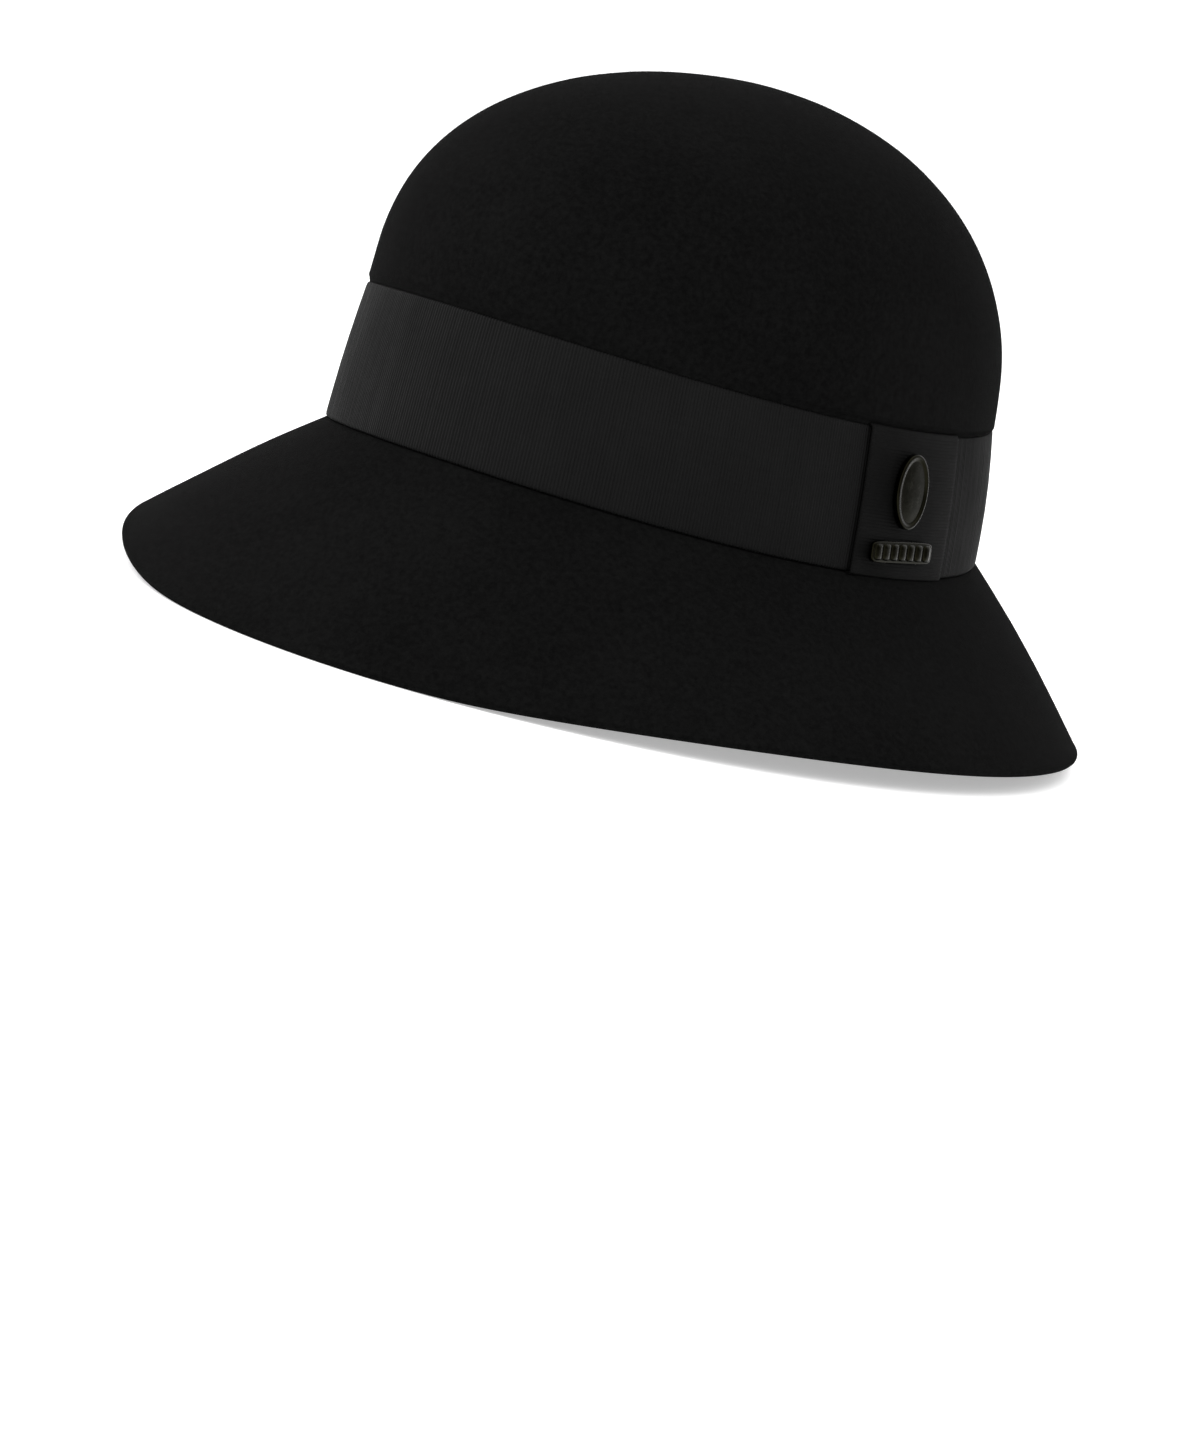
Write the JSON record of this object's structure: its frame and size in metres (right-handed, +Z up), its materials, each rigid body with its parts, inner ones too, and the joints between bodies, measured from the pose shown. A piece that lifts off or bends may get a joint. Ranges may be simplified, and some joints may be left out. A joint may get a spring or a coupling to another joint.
{
  "type": "cloche hat",
  "caption": "Black felt cloche hat with a rounded crown, a bell-shaped brim, a ribbed ribbon band, a ribbon keeper and a plain metal badge, resting on its brim.",
  "frame": {"origin": "middle of the rim on the surface that the hat rests on", "axes": "+Z up, out of the tip of the crown; the front of the hat faces -Y; the wearer's left, with the badge, is +X"},
  "size_m": [0.279, 0.295, 0.1663],
  "materials": {
    "black_felt": "matte wool felt with a fine, short nap",
    "black_ribbon": "ribbed grosgrain ribbon with a low sheen",
    "dark_metal": "polished dark gunmetal plating"
  },
  "bodies": {
    "root": {"felt_body": "black_felt", "ribbon_band": "black_ribbon", "ribbon_keeper": "black_ribbon", "badge_plate": "dark_metal", "badge_bar": "dark_metal"}
  },
  "joints": []
}
